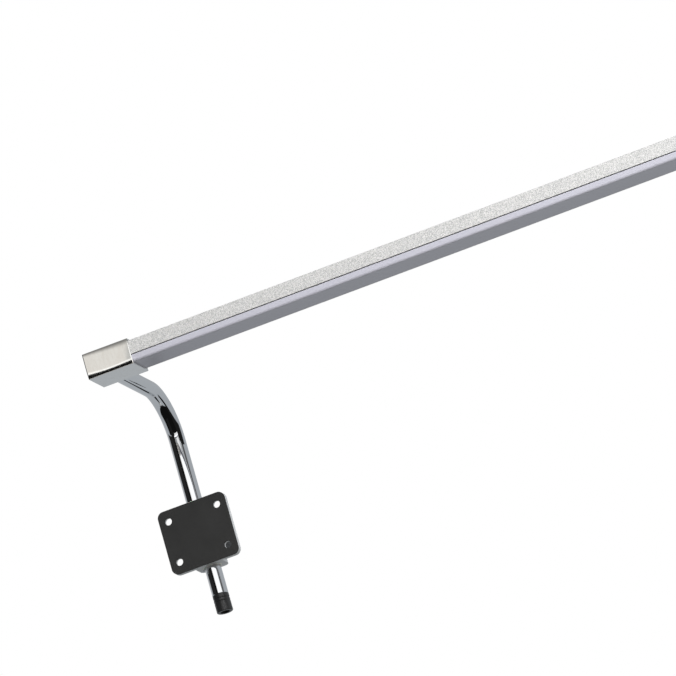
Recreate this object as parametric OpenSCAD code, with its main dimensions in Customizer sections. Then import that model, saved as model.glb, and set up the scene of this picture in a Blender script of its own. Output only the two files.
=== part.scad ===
// LED light bar that stands off the front of a panel on two bent tube arms. The arms go over
// the panel's top edge and slide in two holders on its back, where thumb screws hold them.
// X runs along the bar, Y from the front to the back, Z is up. The origin is midway between
// the two holders, on the face that rests against the back of the panel.

/* [Bar] */
// Overall length, over both end brackets
overall_l = 600; // [450:10:900]
// Depth of the bar, front to back
bar_d = 22.5; // [22:0.5:24]
// Height of the bar
bar_h = 13.5; // [13:0.5:14]
// Height of the speckled band on the bar's front
band_h = 8.6; // [8:0.1:8.6]
// Height of the diffuser's front lip
lip_h = 4.4; // [4:0.1:4.4]
// Outer radius of the diffuser's lower front edge
lip_r = 2; // [1.5:0.1:2.5]
// Wall of the aluminium profile
wall = 1.2; // [1:0.1:1.3]
// Distance from one LED to the next
led_pitch = 10; // [8:1:20]

/* [End brackets] */
// Length of a bracket along the bar
bracket_l = 29.5; // [28:0.5:36]
// Depth of a bracket, front to back
bracket_d = 26; // [26:0.5:30]
// Height of a bracket
bracket_h = 16; // [16:0.5:20]
// Radius of a bracket's edges
edge_r = 0.6; // [0.3:0.1:1]
// How far the bar goes into a bracket
pocket_l = 12.5; // [10:0.5:13]

/* [Arms] */
// Outer diameter of the arm tube
tube_d = 10; // [10:0.5:11]
// Wall of the arm tube
tube_wall = 1; // [0.8:0.1:1.2]
// Centreline radius of the bend
bend_r = 28.4; // [22:0.1:34]
// Straight tube between the bracket and the bend
straight_l = 60.8; // [40:0.1:80]
// Height of the arm's level run above the holders' centre
arm_z = 90; // [80:1:120]
// How far the arm reaches below the holders' centre
arm_drop = 38; // [36:1:80]

/* [Holders] */
// Width of a holder's base plate
base_w = 44; // [42:1:60]
// Height of a holder
base_h = 40; // [38:1:60]
// Diameter of the panel screws' holes
base_hole_d = 4.5; // [4:0.1:5]
// Distance between the panel screws' holes, sideways
hole_span_x = 32; // [30:1:34]
// Distance between the panel screws' holes, up and down
hole_span_z = 26; // [20:1:26]
// Diameter of the thumb screw's knob
knob_d = 18; // [16:1:24]
// Length of the thumb screw's knob
knob_l = 11; // [9:1:16]

/* [Hidden] */
$fn = 64;

gap = 0.1;          // between parts that lie in each other and don't move
fit = 0.05;         // radial clearance of a fixed shaft in its hole
slide_fit = 0.08;   // radial clearance of the arm in its bush
past = 1;           // how far a cutter goes past the face that it cuts

// Bar section, from the bar's lower front corner
corner_r = 0.5;
rear_wall = 1;
skin = 1;                               // diffuser wall
shelf_z = 8.4;                          // underside of the board's seat
shelf_t = 1.2;
snap = 0.6;                             // reach of the snap ridges
snap_t = 0.7;
rear_snap_z = 2;
leg_t = 0.9;                            // snap legs of the diffuser
leg_top = 7;
rear_leg_top = 4.2;
tape_t = 0.3;
board_t = 1;
board_w = 10;
board_y = (bar_d - board_w) / 2;
board_z = shelf_z - tape_t - board_t;
chip = [3.5, 2.8, 0.7];
resistor = [2, 1.25, 0.5];
leds_per_resistor = 3;
gasket_t = 1;

// Bracket, from its outer, front, lower corner
bar_front = 1.35;                       // front wall over the bar
bar_bottom = (bracket_h - bar_h) / 2;
bar_end = bracket_l - pocket_l + gasket_t;
arm_inset = 8.2;                        // arm's axis from the bracket's outer end
mid_z = bracket_h / 2;
socket_y = 11;                          // front end of the arm's socket
chamber_y = 6.3;                        // space in front of the arm, where the lead turns
chamber_d = 7;
lead_y = 8.5;
lead_hole_d = 4;
end_screw_d = 3;
end_screw_l = 26;
end_screw_head = 5.6;
end_screw_y = 4.2;
end_screw_z = 12.2;
arm_screw_d = 4;
arm_screw_y = 18.5;
hex_key = 2;
port_boss = 4.6;

// Where things are
tube_y = 10.5;                          // vertical run of the arm, behind the panel's back
reach = bracket_d + straight_l + bend_r;
bracket_y = tube_y - reach;
bracket_z = arm_z - mid_z;
arm_x = overall_l / 2 - arm_inset;
bar_l = overall_l - 2 * bar_end;
bar_y = bracket_y + bar_front;
bar_z = bracket_z + bar_bottom;

// Lead and inlet
lead_d = 2.4;
lead_bend_r = 4;
lead_in = 13;                           // lead's length inside the bar
core_d = 0.8;
core_l = 5;
core_step = 1.2;                        // between the two cores' axes
board_l = bar_l - 2 * (lead_in + 2);
socket_l = 11;                          // inlet's length below the tube
spigot_l = 8;                           // and inside the tube
spigot_d = tube_d - 2 * tube_wall - gap;
inlet_bore = 5.6;
inlet_depth = 9.5;
pin_d = 2.1;
pin_recess = 1.5;
pin_root = 3;
plug_t = 1.5;

// Holder, from its centre on the panel's back
backing_t = 1;
plate_t = 3.5;
plate_r = 4;
block_w = 18;
block_back = 17.5;
bush_d = 12;
bush_flange_d = 14;
bush_flange_t = 1.2;
sink_d = 9;
sink_t = 2;
boss_d = 13;
boss_back = 24.5;
stud_d = 5;
nose_d = 3;
nose_l = 1.2;
pad_d = 6;
pad_t = 2;
pad_front = tube_y + tube_d / 2 + gap;
pad_back = pad_front + pad_t;
pad_travel = 1.4;
pad_room = 0.3;
knob_front = 27;
knob_bore = 7;
knob_edge = 1;
flutes = 20;
flute_d = 2;

// ---------------------------------------------------------------- shape helpers

// An outline in Y and Z, drawn out along X
module along_x(l) { rotate([90, 0, 90]) linear_extrude(l) children(); }

// An outline in X and Z, drawn out along Y
module along_y(l) { translate([0, l, 0]) rotate([90, 0, 0]) linear_extrude(l) children(); }

// A cylinder along Y that starts at y = 0
module rod_y(d, l) { rotate([-90, 0, 0]) cylinder(d = d, h = l); }

// A cylinder along X that starts at x = 0
module rod_x(d, l) { rotate([0, 90, 0]) cylinder(d = d, h = l); }

// A rectangle with round corners, from its lower left corner
module round_rect(w, h, r) {
    translate([r, 0]) square([w - 2 * r, h]);
    translate([0, r]) square([w, h - 2 * r]);
    for (x = [r, w - r], y = [r, h - r]) translate([x, y]) circle(r);
}

// A block with round edges all over
module round_block(l, d, h, r) {
    intersection() {
        along_x(l) round_rect(d, h, r);
        along_y(d) round_rect(l, h, r);
        linear_extrude(h) round_rect(l, d, r);
    }
}

// A round rod that follows the arm: level from y_front, round the bend, and down to z_low
module arm_path(d, y_front, z_low) {
    bend_y = tube_y - bend_r;
    bend_z = arm_z - bend_r;
    translate([0, y_front, arm_z]) rod_y(d, bend_y - y_front);
    translate([0, bend_y, bend_z]) rotate([90, 0, 90])
        rotate_extrude(angle = 90) translate([bend_r, 0]) circle(d = d);
    translate([0, tube_y, z_low]) cylinder(d = d, h = bend_z - z_low);
}

module at_bracket() { translate([-overall_l / 2, bracket_y, bracket_z]) children(); }
module at_bar() { translate([-bar_l / 2, bar_y, bar_z]) children(); }
module at_arm() { translate([-arm_x, 0, 0]) children(); }
module on_right() { mirror([1, 0, 0]) children(); }

// ---------------------------------------------------------------- bar

module port_place() {
    translate([end_screw_y - bar_front, end_screw_z - bar_bottom]) children();
}

module housing_section() {
    difference() {
        intersection() {
            round_rect(bar_d, bar_h, corner_r);
            union() {
                translate([0, bar_h - wall]) square([bar_d, wall]);
                translate([0, bar_h - band_h]) square([wall, band_h]);
                translate([bar_d - rear_wall, 0]) square([rear_wall, bar_h]);
                translate([0, shelf_z]) square([bar_d, shelf_t]);
                translate([0, bar_h - band_h]) square([wall + snap, snap_t]);
                translate([bar_d - rear_wall - snap, rear_snap_z]) square([snap, snap_t]);
                port_place() circle(d = port_boss);
            }
        }
        port_place() circle(d = end_screw_d + 2 * fit);
    }
}

module diffuser_section() {
    leg_y = wall + snap + gap;
    hook_z = bar_h - band_h + snap_t + gap;
    inner = bar_d - rear_wall - gap;
    rear_leg_y = inner - snap - leg_t;
    // underside, round front edge and front lip
    translate([lip_r, 0]) square([inner - lip_r, skin]);
    translate([0, lip_r]) square([skin, lip_h - lip_r]);
    intersection() {
        square(lip_r);
        translate([lip_r, lip_r]) difference() {
            circle(lip_r);
            circle(lip_r - skin);
        }
    }
    // front snap leg behind the band
    translate([0, lip_h - skin]) square([leg_y + leg_t, skin]);
    translate([leg_y, lip_h - skin]) square([leg_t, leg_top - lip_h + skin]);
    translate([leg_y - snap, hook_z]) square([snap, snap_t]);
    // rear snap leg inside the rear wall
    translate([rear_leg_y, 0]) square([leg_t, rear_leg_top]);
    translate([rear_leg_y, rear_snap_z + snap_t + gap]) square([leg_t + snap, snap_t]);
}

module bar_housing() {
    color("silver") at_bar() along_x(bar_l) housing_section();
}

module diffuser() {
    color("lavender") at_bar() along_x(bar_l) diffuser_section();
}

module on_board() {
    translate([-board_l / 2, bar_y + board_y, bar_z + board_z]) children();
}

module led_board() {
    color("white") on_board() cube([board_l, board_w, board_t]);
}

module thermal_tape() {
    color("gray") on_board() translate([0, 0, board_t]) cube([board_l, board_w, tape_t]);
}

module led_chips() {
    count = floor((board_l - led_pitch) / led_pitch);
    first = (board_l - (count - 1) * led_pitch - chip[0]) / 2;
    color("gold") on_board() for (i = [0 : count - 1])
        translate([first + i * led_pitch, (board_w - chip[1]) / 2, -chip[2]]) cube(chip);
}

module led_resistors() {
    step = leds_per_resistor * led_pitch;
    count = floor((board_l - led_pitch) / step);
    first = (board_l - (count - 1) * step) / 2 + led_pitch / 2 - resistor[0] / 2;
    color("dimgray") on_board() for (i = [0 : count - 2])
        translate([first + i * step, board_w - 2 * resistor[1], -resistor[2]]) cube(resistor);
}

// Foam plate between the bar's end and the bracket; the left one lets the lead through
module gasket(lead_hole) {
    color("dimgray") at_bracket() difference() {
        translate([bar_end - gasket_t, bar_front, bar_bottom])
            along_x(gasket_t) round_rect(bar_d, bar_h, corner_r);
        translate([0, end_screw_y, end_screw_z]) rod_x(end_screw_d + gap, bracket_l);
        if (lead_hole) translate([0, lead_y, mid_z]) rod_x(lead_d + gap, bracket_l);
    }
}

module left_gasket() { gasket(true); }
module right_gasket() { on_right() gasket(false); }

// ---------------------------------------------------------------- end brackets

module bracket() {
    color("gainsboro") at_bracket() difference() {
        round_block(bracket_l, bracket_d, bracket_h, edge_r);
        // pocket for the bar
        translate([bracket_l - pocket_l, bar_front - gap, bar_bottom - gap])
            along_x(pocket_l + past) round_rect(bar_d + 2 * gap, bar_h + 2 * gap, corner_r);
        // socket for the arm, the space in front of it, and the lead's way in from the bar
        translate([arm_inset, socket_y, mid_z]) rod_y(tube_d + 2 * fit, bracket_d);
        translate([arm_inset, chamber_y, mid_z]) rod_y(chamber_d, socket_y);
        translate([arm_inset, lead_y, mid_z]) rod_x(lead_hole_d, pocket_l);
        // hole for the countersunk end screw
        translate([-past, end_screw_y, end_screw_z]) rod_x(end_screw_d + 2 * fit, bracket_l);
        translate([0, end_screw_y, end_screw_z]) rotate([0, 90, 0]) cylinder(
            d1 = end_screw_head + gap, d2 = end_screw_d + gap, h = (end_screw_head - end_screw_d) / 2);
        // threaded hole for the set screw that holds the arm
        translate([arm_inset, arm_screw_y, mid_z]) cylinder(d = arm_screw_d + 2 * fit, h = bracket_h);
    }
}

module left_bracket() { bracket(); }
module right_bracket() { on_right() bracket(); }

module end_screw() {
    head_t = (end_screw_head - end_screw_d) / 2;
    color("silver") at_bracket() translate([0, end_screw_y, end_screw_z]) difference() {
        union() {
            rotate([0, 90, 0]) cylinder(d1 = end_screw_head, d2 = end_screw_d, h = head_t);
            rod_x(end_screw_d, end_screw_l);
        }
        translate([-past, 0, 0]) rotate([0, 90, 0]) cylinder(d = hex_key, h = past + head_t, $fn = 6);
    }
}

module left_end_screw() { end_screw(); }
module right_end_screw() { on_right() end_screw(); }

module arm_screw() {
    low = mid_z + tube_d / 2;
    sunk = 0.2;
    color("silver") at_bracket() translate([arm_inset, arm_screw_y, low]) difference() {
        cylinder(d = arm_screw_d, h = bracket_h - low - sunk);
        translate([0, 0, past]) cylinder(d = hex_key, h = bracket_h, $fn = 6);
    }
}

module left_arm_screw() { arm_screw(); }
module right_arm_screw() { on_right() arm_screw(); }

// ---------------------------------------------------------------- arms

module arm() {
    inner = tube_d - 2 * tube_wall;
    y_front = bracket_y + socket_y;
    color("silver") at_arm() difference() {
        arm_path(tube_d, y_front, -arm_drop);
        arm_path(inner, y_front - past, -arm_drop - past);
    }
}

module left_arm() { arm(); }
module right_arm() { on_right() arm(); }

// Two-core lead from the board, through the bracket and down inside the left arm
module supply_lead() {
    turn_x = arm_inset + lead_bend_r;
    turn_y = lead_y + lead_bend_r;
    color("black") {
        at_bracket() {
            translate([turn_x, lead_y, mid_z]) rod_x(lead_d, bar_end + lead_in - turn_x);
            translate([turn_x, turn_y, mid_z]) rotate([0, 0, 180])
                rotate_extrude(angle = 90) translate([lead_bend_r, 0]) circle(d = lead_d);
            for (side = [-1, 1] * core_step / 2)
                translate([bar_end + lead_in, lead_y + side, bar_bottom + board_z - core_d / 2])
                    rod_x(core_d, core_l);
        }
        at_arm() arm_path(lead_d, bracket_y + turn_y, -arm_drop + spigot_l);
    }
}

module at_inlet() { at_arm() translate([0, tube_y, -arm_drop - socket_l]) children(); }

module contact_pin() {
    translate([0, 0, pin_recess]) cylinder(d = pin_d, h = inlet_depth - pin_recess + pin_root);
}

// Barrel inlet on the lower end of the left arm
module dc_socket() {
    color("black") at_inlet() difference() {
        union() {
            cylinder(d = tube_d, h = socket_l);
            cylinder(d = spigot_d, h = socket_l + spigot_l);
        }
        translate([0, 0, -past]) cylinder(d = inlet_bore, h = inlet_depth + past);
        contact_pin();
    }
}

module dc_pin() {
    color("goldenrod") at_inlet() contact_pin();
}

module right_end_plug() {
    color("black") on_right() at_arm() translate([0, tube_y, -arm_drop]) {
        cylinder(d = spigot_d, h = spigot_l);
        translate([0, 0, -plug_t]) cylinder(d1 = tube_d - 1, d2 = tube_d, h = plug_t);
    }
}

// ---------------------------------------------------------------- holders

module screw_places() {
    for (x = [-1, 1] * hole_span_x / 2, z = [-1, 1] * hole_span_z / 2)
        translate([x, 0, z]) children();
}

module backing() {
    color("dimgray") at_arm() difference() {
        translate([-base_w / 2, 0, -base_h / 2]) along_y(backing_t) round_rect(base_w, base_h, plate_r);
        screw_places() translate([0, -past, 0]) rod_y(base_hole_d, backing_t + 2 * past);
    }
}

module left_backing() { backing(); }
module right_backing() { on_right() backing(); }

module holder() {
    plate_back = backing_t + plate_t;
    color("silver") at_arm() difference() {
        union() {
            translate([-base_w / 2, backing_t, -base_h / 2])
                along_y(plate_t) round_rect(base_w, base_h, plate_r);
            translate([-block_w / 2, backing_t, -base_h / 2]) linear_extrude(base_h)
                round_rect(block_w, block_back - backing_t, plate_r);
            translate([0, tube_y, 0]) rod_y(boss_d, boss_back - tube_y);
        }
        screw_places() {
            rod_y(base_hole_d, plate_back + past);
            translate([0, plate_back - sink_t, 0]) rotate([-90, 0, 0])
                cylinder(d1 = base_hole_d, d2 = sink_d, h = sink_t);
        }
        translate([0, tube_y, -base_h]) cylinder(d = bush_d + 2 * fit, h = 2 * base_h);
        translate([0, tube_y, 0]) rod_y(stud_d + 2 * fit, boss_back);
        translate([0, tube_y, 0]) rod_y(pad_d + 2 * pad_room, pad_back + pad_travel + pad_room - tube_y);
    }
}

module left_holder() { holder(); }
module right_holder() { on_right() holder(); }

// Nylon liner with a collar on top and a window for the pressure pad
module bush() {
    color("whitesmoke") at_arm() difference() {
        union() {
            translate([0, tube_y, -base_h / 2]) cylinder(d = bush_d, h = base_h);
            translate([0, tube_y, base_h / 2]) cylinder(d = bush_flange_d, h = bush_flange_t);
        }
        translate([0, tube_y, -base_h]) cylinder(d = tube_d + 2 * slide_fit, h = 2 * base_h);
        translate([0, tube_y, 0]) rod_y(pad_d + 2 * pad_room, bush_d);
    }
}

module left_bush() { bush(); }
module right_bush() { on_right() bush(); }

module pad() {
    color("ivory") at_arm() difference() {
        translate([0, pad_front, 0]) rod_y(pad_d, pad_t);
        translate([0, pad_back - nose_l, 0]) rod_y(nose_d + 2 * gap, pad_t);
    }
}

module left_pad() { pad(); }
module right_pad() { on_right() pad(); }

module stud() {
    color("silver") at_arm() {
        translate([0, pad_back - nose_l + gap, 0]) rod_y(nose_d, nose_l);
        translate([0, pad_back + gap, 0]) rod_y(stud_d, knob_front + knob_bore - pad_back - gap);
    }
}

module left_stud() { stud(); }
module right_stud() { on_right() stud(); }

module knob() {
    r = knob_d / 2;
    color("black") at_arm() translate([0, knob_front, 0]) rotate([-90, 0, 0]) difference() {
        rotate_extrude() polygon([
            [0, 0], [r - knob_edge, 0], [r, knob_edge],
            [r, knob_l - knob_edge], [r - knob_edge, knob_l], [0, knob_l]
        ]);
        translate([0, 0, -past]) cylinder(d = stud_d, h = knob_bore + past);
        for (i = [0 : flutes - 1]) rotate([0, 0, i * 360 / flutes])
            translate([r + flute_d / 5, 0, -past]) cylinder(d = flute_d, h = knob_l + 2 * past);
    }
}

module left_knob() { knob(); }
module right_knob() { on_right() knob(); }

bar_housing();
diffuser();
led_board();
led_chips();
led_resistors();
thermal_tape();
left_gasket();
right_gasket();
left_bracket();
right_bracket();
left_end_screw();
right_end_screw();
left_arm_screw();
right_arm_screw();
left_arm();
right_arm();
supply_lead();
dc_socket();
dc_pin();
right_end_plug();
left_holder();
right_holder();
left_bush();
right_bush();
left_backing();
right_backing();
left_stud();
right_stud();
left_knob();
right_knob();
left_pad();
right_pad();
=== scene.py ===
"""LED light bar on two bent tube arms: the looks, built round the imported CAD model.

Lengths are in millimetres up to the point where a mesh or an object is made, and in metres in
Blender. The studio's lights, panels, cards and floor are given in metres. X runs along the bar,
Y from the front to the back, Z is up.
"""

import math

import bmesh
import bpy
from mathutils import Matrix, Vector


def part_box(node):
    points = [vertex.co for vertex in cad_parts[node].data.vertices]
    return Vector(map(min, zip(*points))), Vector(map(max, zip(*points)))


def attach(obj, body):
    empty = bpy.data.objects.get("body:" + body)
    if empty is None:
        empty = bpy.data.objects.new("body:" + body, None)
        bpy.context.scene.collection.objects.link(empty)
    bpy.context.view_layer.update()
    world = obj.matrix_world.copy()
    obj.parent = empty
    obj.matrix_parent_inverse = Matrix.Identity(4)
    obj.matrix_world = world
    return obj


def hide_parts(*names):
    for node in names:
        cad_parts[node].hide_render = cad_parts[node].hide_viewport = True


MM = 0.001
WELD = 0.0005           # points closer than this in a new mesh are one point

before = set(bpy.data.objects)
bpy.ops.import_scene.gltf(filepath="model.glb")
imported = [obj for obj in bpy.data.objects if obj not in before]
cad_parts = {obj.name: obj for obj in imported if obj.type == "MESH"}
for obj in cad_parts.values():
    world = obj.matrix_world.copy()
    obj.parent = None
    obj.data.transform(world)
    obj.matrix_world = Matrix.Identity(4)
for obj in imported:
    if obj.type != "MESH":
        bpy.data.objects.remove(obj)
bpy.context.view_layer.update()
scene = bpy.context.scene
scene.view_settings.view_transform = "Standard"
scene.cycles.max_bounces = 16
scene.cycles.glossy_bounces = 10


def box(node):
    """Lowest and highest corner of a CAD node, in millimetres"""
    lo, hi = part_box(node)
    return lo / MM, hi / MM


# ---------------------------------------------------------------- meshes


def new_object(name, verts, faces):
    """An object from points in millimetres, with its normals outwards and smooth shading"""
    mesh = bpy.data.meshes.new(name)
    bm = bmesh.new()
    made = [bm.verts.new(Vector(v) * MM) for v in verts]
    for face in faces:
        bm.faces.new([made[i] for i in face])
    bmesh.ops.remove_doubles(bm, verts=bm.verts, dist=WELD * MM)
    bmesh.ops.dissolve_degenerate(bm, edges=bm.edges, dist=WELD * MM)
    bmesh.ops.delete(bm, geom=[e for e in bm.edges if not e.link_faces], context="EDGES")
    bmesh.ops.recalc_face_normals(bm, faces=bm.faces)
    for face in bm.faces:
        face.smooth = True
    bm.to_mesh(mesh)
    bm.free()
    obj = bpy.data.objects.new(name, mesh)
    scene.collection.objects.link(obj)
    return obj


def loft(name, rings, ring_closed=False, caps=True):
    """A skin over rings of points; the last ring joins the first if ring_closed"""
    n = len(rings[0])
    count = len(rings)
    verts = [p for ring in rings for p in ring]
    faces = []
    for i in range(count if ring_closed else count - 1):
        a, b = i * n, (i + 1) % count * n
        for j in range(n):
            k = (j + 1) % n
            faces.append([a + j, a + k, b + k, b + j])
    if caps and not ring_closed:
        faces.append(list(range(n)))
        faces.append(list(range((count - 1) * n, count * n)))
    return new_object(name, verts, faces)


def arc(centre, r, start, end, steps):
    """Points on an arc, from start to end in degrees"""
    points = []
    for i in range(steps + 1):
        a = math.radians(start + (end - start) * i / steps)
        points.append((centre[0] + r * math.cos(a), centre[1] + r * math.sin(a)))
    return points


def circle(r, sides):
    """The outline of a regular polygon that stands for a circle"""
    return arc((0, 0), r, 0, 360 - 360 / sides, sides - 1)


def rounded(w, h, r, steps=8):
    """The outline of a rectangle from (0, 0) to (w, h) with round corners"""
    corners = [((w - r, h - r), 0), ((r, h - r), 90), ((r, r), 180), ((w - r, r), 270)]
    return [p for c, a in corners for p in arc(c, r, a, a + 90, steps)]


def lathe(name, profile, steps=64, place=Matrix()):
    """A closed outline of (radius, height) turned round the Z axis, then placed"""
    rings = []
    for i in range(steps):
        a = 2 * math.pi * i / steps
        rings.append([place @ Vector((r * math.cos(a), r * math.sin(a), z)) for r, z in profile])
    return loft(name, rings, ring_closed=True)


def prism(name, outline, place, length):
    """An outline in X and Y drawn out along Z, then placed"""
    rings = [[place @ Vector((x, y, z)) for x, y in outline] for z in (0, length)]
    return loft(name, rings)


def to(x, y, z):
    return Matrix.Translation((x, y, z))


ALONG_X = Matrix(((0, 0, 1, 0), (1, 0, 0, 0), (0, 1, 0, 0), (0, 0, 0, 1)))
ALONG_Y = Matrix(((1, 0, 0, 0), (0, 0, 1, 0), (0, -1, 0, 0), (0, 0, 0, 1)))
# The same with the outline's own Y upwards, which mirrors it
UPRIGHT = Matrix(((1, 0, 0, 0), (0, 0, 1, 0), (0, 1, 0, 0), (0, 0, 0, 1)))


def baked(obj):
    """Puts the result of the object's modifiers into its mesh"""
    graph = bpy.context.evaluated_depsgraph_get()
    mesh = bpy.data.meshes.new_from_object(obj.evaluated_get(graph))
    obj.modifiers.clear()
    obj.data = mesh
    return obj


def combine(obj, others, operation="DIFFERENCE"):
    """Cuts the other objects out of obj, or joins them to it, and removes them"""
    for other in others:
        m = obj.modifiers.new("combine", "BOOLEAN")
        m.operation = operation
        m.solver = "EXACT"
        m.object = other
    baked(obj)
    for other in others:
        bpy.data.objects.remove(other)
    return obj


def bevelled(obj, width, segments=3, angle=35):
    m = obj.modifiers.new("bevel", "BEVEL")
    m.width = width * MM
    m.segments = segments
    m.limit_method = "ANGLE"
    m.angle_limit = math.radians(angle)
    return baked(obj)


def flat_faces_flat(obj):
    """Normals that follow the large faces, so that the flats look flat beside round edges"""
    for face in obj.data.polygons:
        face.use_smooth = True
    m = obj.modifiers.new("normals", "WEIGHTED_NORMAL")
    m.keep_sharp = True
    m.weight = 100
    return baked(obj)


def sharpened(obj, angle=40):
    """Smooth shading with sharp edges where faces meet at more than the angle"""
    bm = bmesh.new()
    bm.from_mesh(obj.data)
    for face in bm.faces:
        face.smooth = True
    for edge in bm.edges:
        if len(edge.link_faces) == 2:
            edge.smooth = edge.calc_face_angle() < math.radians(angle)
    bm.to_mesh(obj.data)
    bm.free()
    return obj


def sealed(obj):
    """Joins points that nearly meet and closes the pinholes that a boolean leaves"""
    bm = bmesh.new()
    bm.from_mesh(obj.data)
    bmesh.ops.remove_doubles(bm, verts=bm.verts, dist=0.002 * MM)
    bmesh.ops.dissolve_degenerate(bm, edges=bm.edges, dist=0.002 * MM)
    bmesh.ops.holes_fill(bm, edges=[e for e in bm.edges if e.is_boundary], sides=0)
    bm.to_mesh(obj.data)
    bm.free()
    return obj


MIRROR = Matrix.Diagonal((-1, 1, 1, 1))


def copied(obj, name, across=MIRROR):
    """A copy of obj on the other side of the plane X = 0, its mirror image unless across says how"""
    mesh = obj.data.copy()
    mesh.transform(across)
    if across.determinant() < 0:
        mesh.flip_normals()
    copy = bpy.data.objects.new(name, mesh)
    scene.collection.objects.link(copy)
    return copy


# ---------------------------------------------------------------- camera


def make_camera():
    """A long lens that looks up at the left end from below, rolled to the right"""
    azimuth, elevation, roll = math.radians(15.63), math.radians(-16.15), math.radians(15.95)
    distance, field = 6200, 397.4
    aim_right, aim_down = 154.63, 45.64     # from the bracket's top front corner to the view's middle
    lo, hi = box("left_bracket")
    target = Vector((lo.x + aim_right, lo.y, hi.z - aim_down))
    back = Vector((
        math.sin(azimuth) * math.cos(elevation),
        -math.cos(azimuth) * math.cos(elevation),
        math.sin(elevation),
    ))
    level_right = Vector((0, 0, 1)).cross(back).normalized()
    level_up = back.cross(level_right)
    right = math.cos(roll) * level_right - math.sin(roll) * level_up
    up = back.cross(right)
    data = bpy.data.cameras.new("camera")
    camera = bpy.data.objects.new("camera", data)
    scene.collection.objects.link(camera)
    turn = Matrix((right, up, back)).transposed().to_4x4()
    camera.matrix_world = Matrix.Translation((target + back * distance) * MM) @ turn
    data.sensor_width = 36
    data.lens = data.sensor_width * distance / field
    data.clip_end = 100
    scene.camera = camera


make_camera()


# ---------------------------------------------------------------- shader helpers


def add(tree, kind, inputs=(), out=0, **settings):
    """Adds a node, gives its inputs values or links, and returns one of its outputs"""
    made = tree.nodes.new("ShaderNode" + kind)
    for key, value in settings.items():
        setattr(made, key, value)
    for key, value in dict(inputs).items():
        if isinstance(value, bpy.types.NodeSocket):
            tree.links.new(value, made.inputs[key])
        else:
            made.inputs[key].default_value = value
    return made.outputs[out]


def calc(tree, operation, a, b=0.0, c=0.0):
    return add(tree, "Math", {0: a, 1: b, 2: c}, operation=operation)


def ease(tree, value, lo, hi, at_lo=0.0, at_hi=1.0):
    """A smooth step of value between lo and hi"""
    inputs = {"Value": value, "From Min": lo, "From Max": hi, "To Min": at_lo, "To Max": at_hi}
    return add(tree, "MapRange", inputs, interpolation_type="SMOOTHSTEP")


def mix(tree, factor, a, b):
    """Mixes two colours"""
    made = tree.nodes.new("ShaderNodeMix")
    made.data_type = "RGBA"
    for socket, value in ((made.inputs[0], factor), (made.inputs[6], a), (made.inputs[7], b)):
        if isinstance(value, bpy.types.NodeSocket):
            tree.links.new(value, socket)
        elif socket == made.inputs[0]:
            socket.default_value = value
        else:
            socket.default_value = (*value, 1)
    return made.outputs[2]


# ---------------------------------------------------------------- world, lights and floor

# Parts of the studio that the plating mirrors. Each has a name, a chart, a range across, a range upwards and
# its light. A range is lowest, highest, softness at the lowest, softness at the highest, all in degrees.
# Later rows cover earlier ones. The rows were set to suit the photograph's view, so they aren't plain studio
# light.
# Chart "round" is azimuth (0 in front, towards -Y, growing towards +X) and elevation. Chart "over"
# is the angle sideways and the pitch, which goes from the front over the top to the back.
STUDIO = [
    ("ceiling", "round", (-400, 400, 1, 1), (26, 200, 9, 1), (0.30, 0.30, 0.31)),
    ("behind_left", "round", (-172, -112, 8, 8), (4, 60, 6, 12), (0.56, 0.57, 0.59)),
    ("front_below", "over", (-60, 67, 1.5, 1.5), (-93, 5.6, 1.5, 0.5), (0.006, 0.006, 0.006)),
    ("left_side", "round", (-94, -34, 4, 1.5), (5.6, 60, 1, 8), (0.02, 0.02, 0.02)),
    ("front_above", "round", (-40, 80, 4, 6), (16, 75, 8, 10), (0.23, 0.225, 0.215)),
    ("front", "round", (-34, 2, 1.5, 1.5), (5.6, 27, 0.5, 9), (0.87, 0.845, 0.80)),
    ("front_dusk", "round", (-14.4, -8, 0.9, 1.5), (5.6, 27, 0.5, 9), (0.60, 0.60, 0.585)),
    ("front_middle", "round", (-6.5, 2, 2, 1.5), (5.6, 27, 0.5, 9), (1.12, 1.11, 1.09)),
    ("front_low_glow", "round", (-30, 2, 2, 1), (5.6, 10, 0.5, 2.5), (1.30, 1.29, 1.26)),
    ("right_gap", "round", (61, 84, 2, 5), (-24, 45, 3, 6), (0.10, 0.10, 0.10)),
]
STUDIO_GREY = (0.43, 0.455, 0.48)


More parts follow.
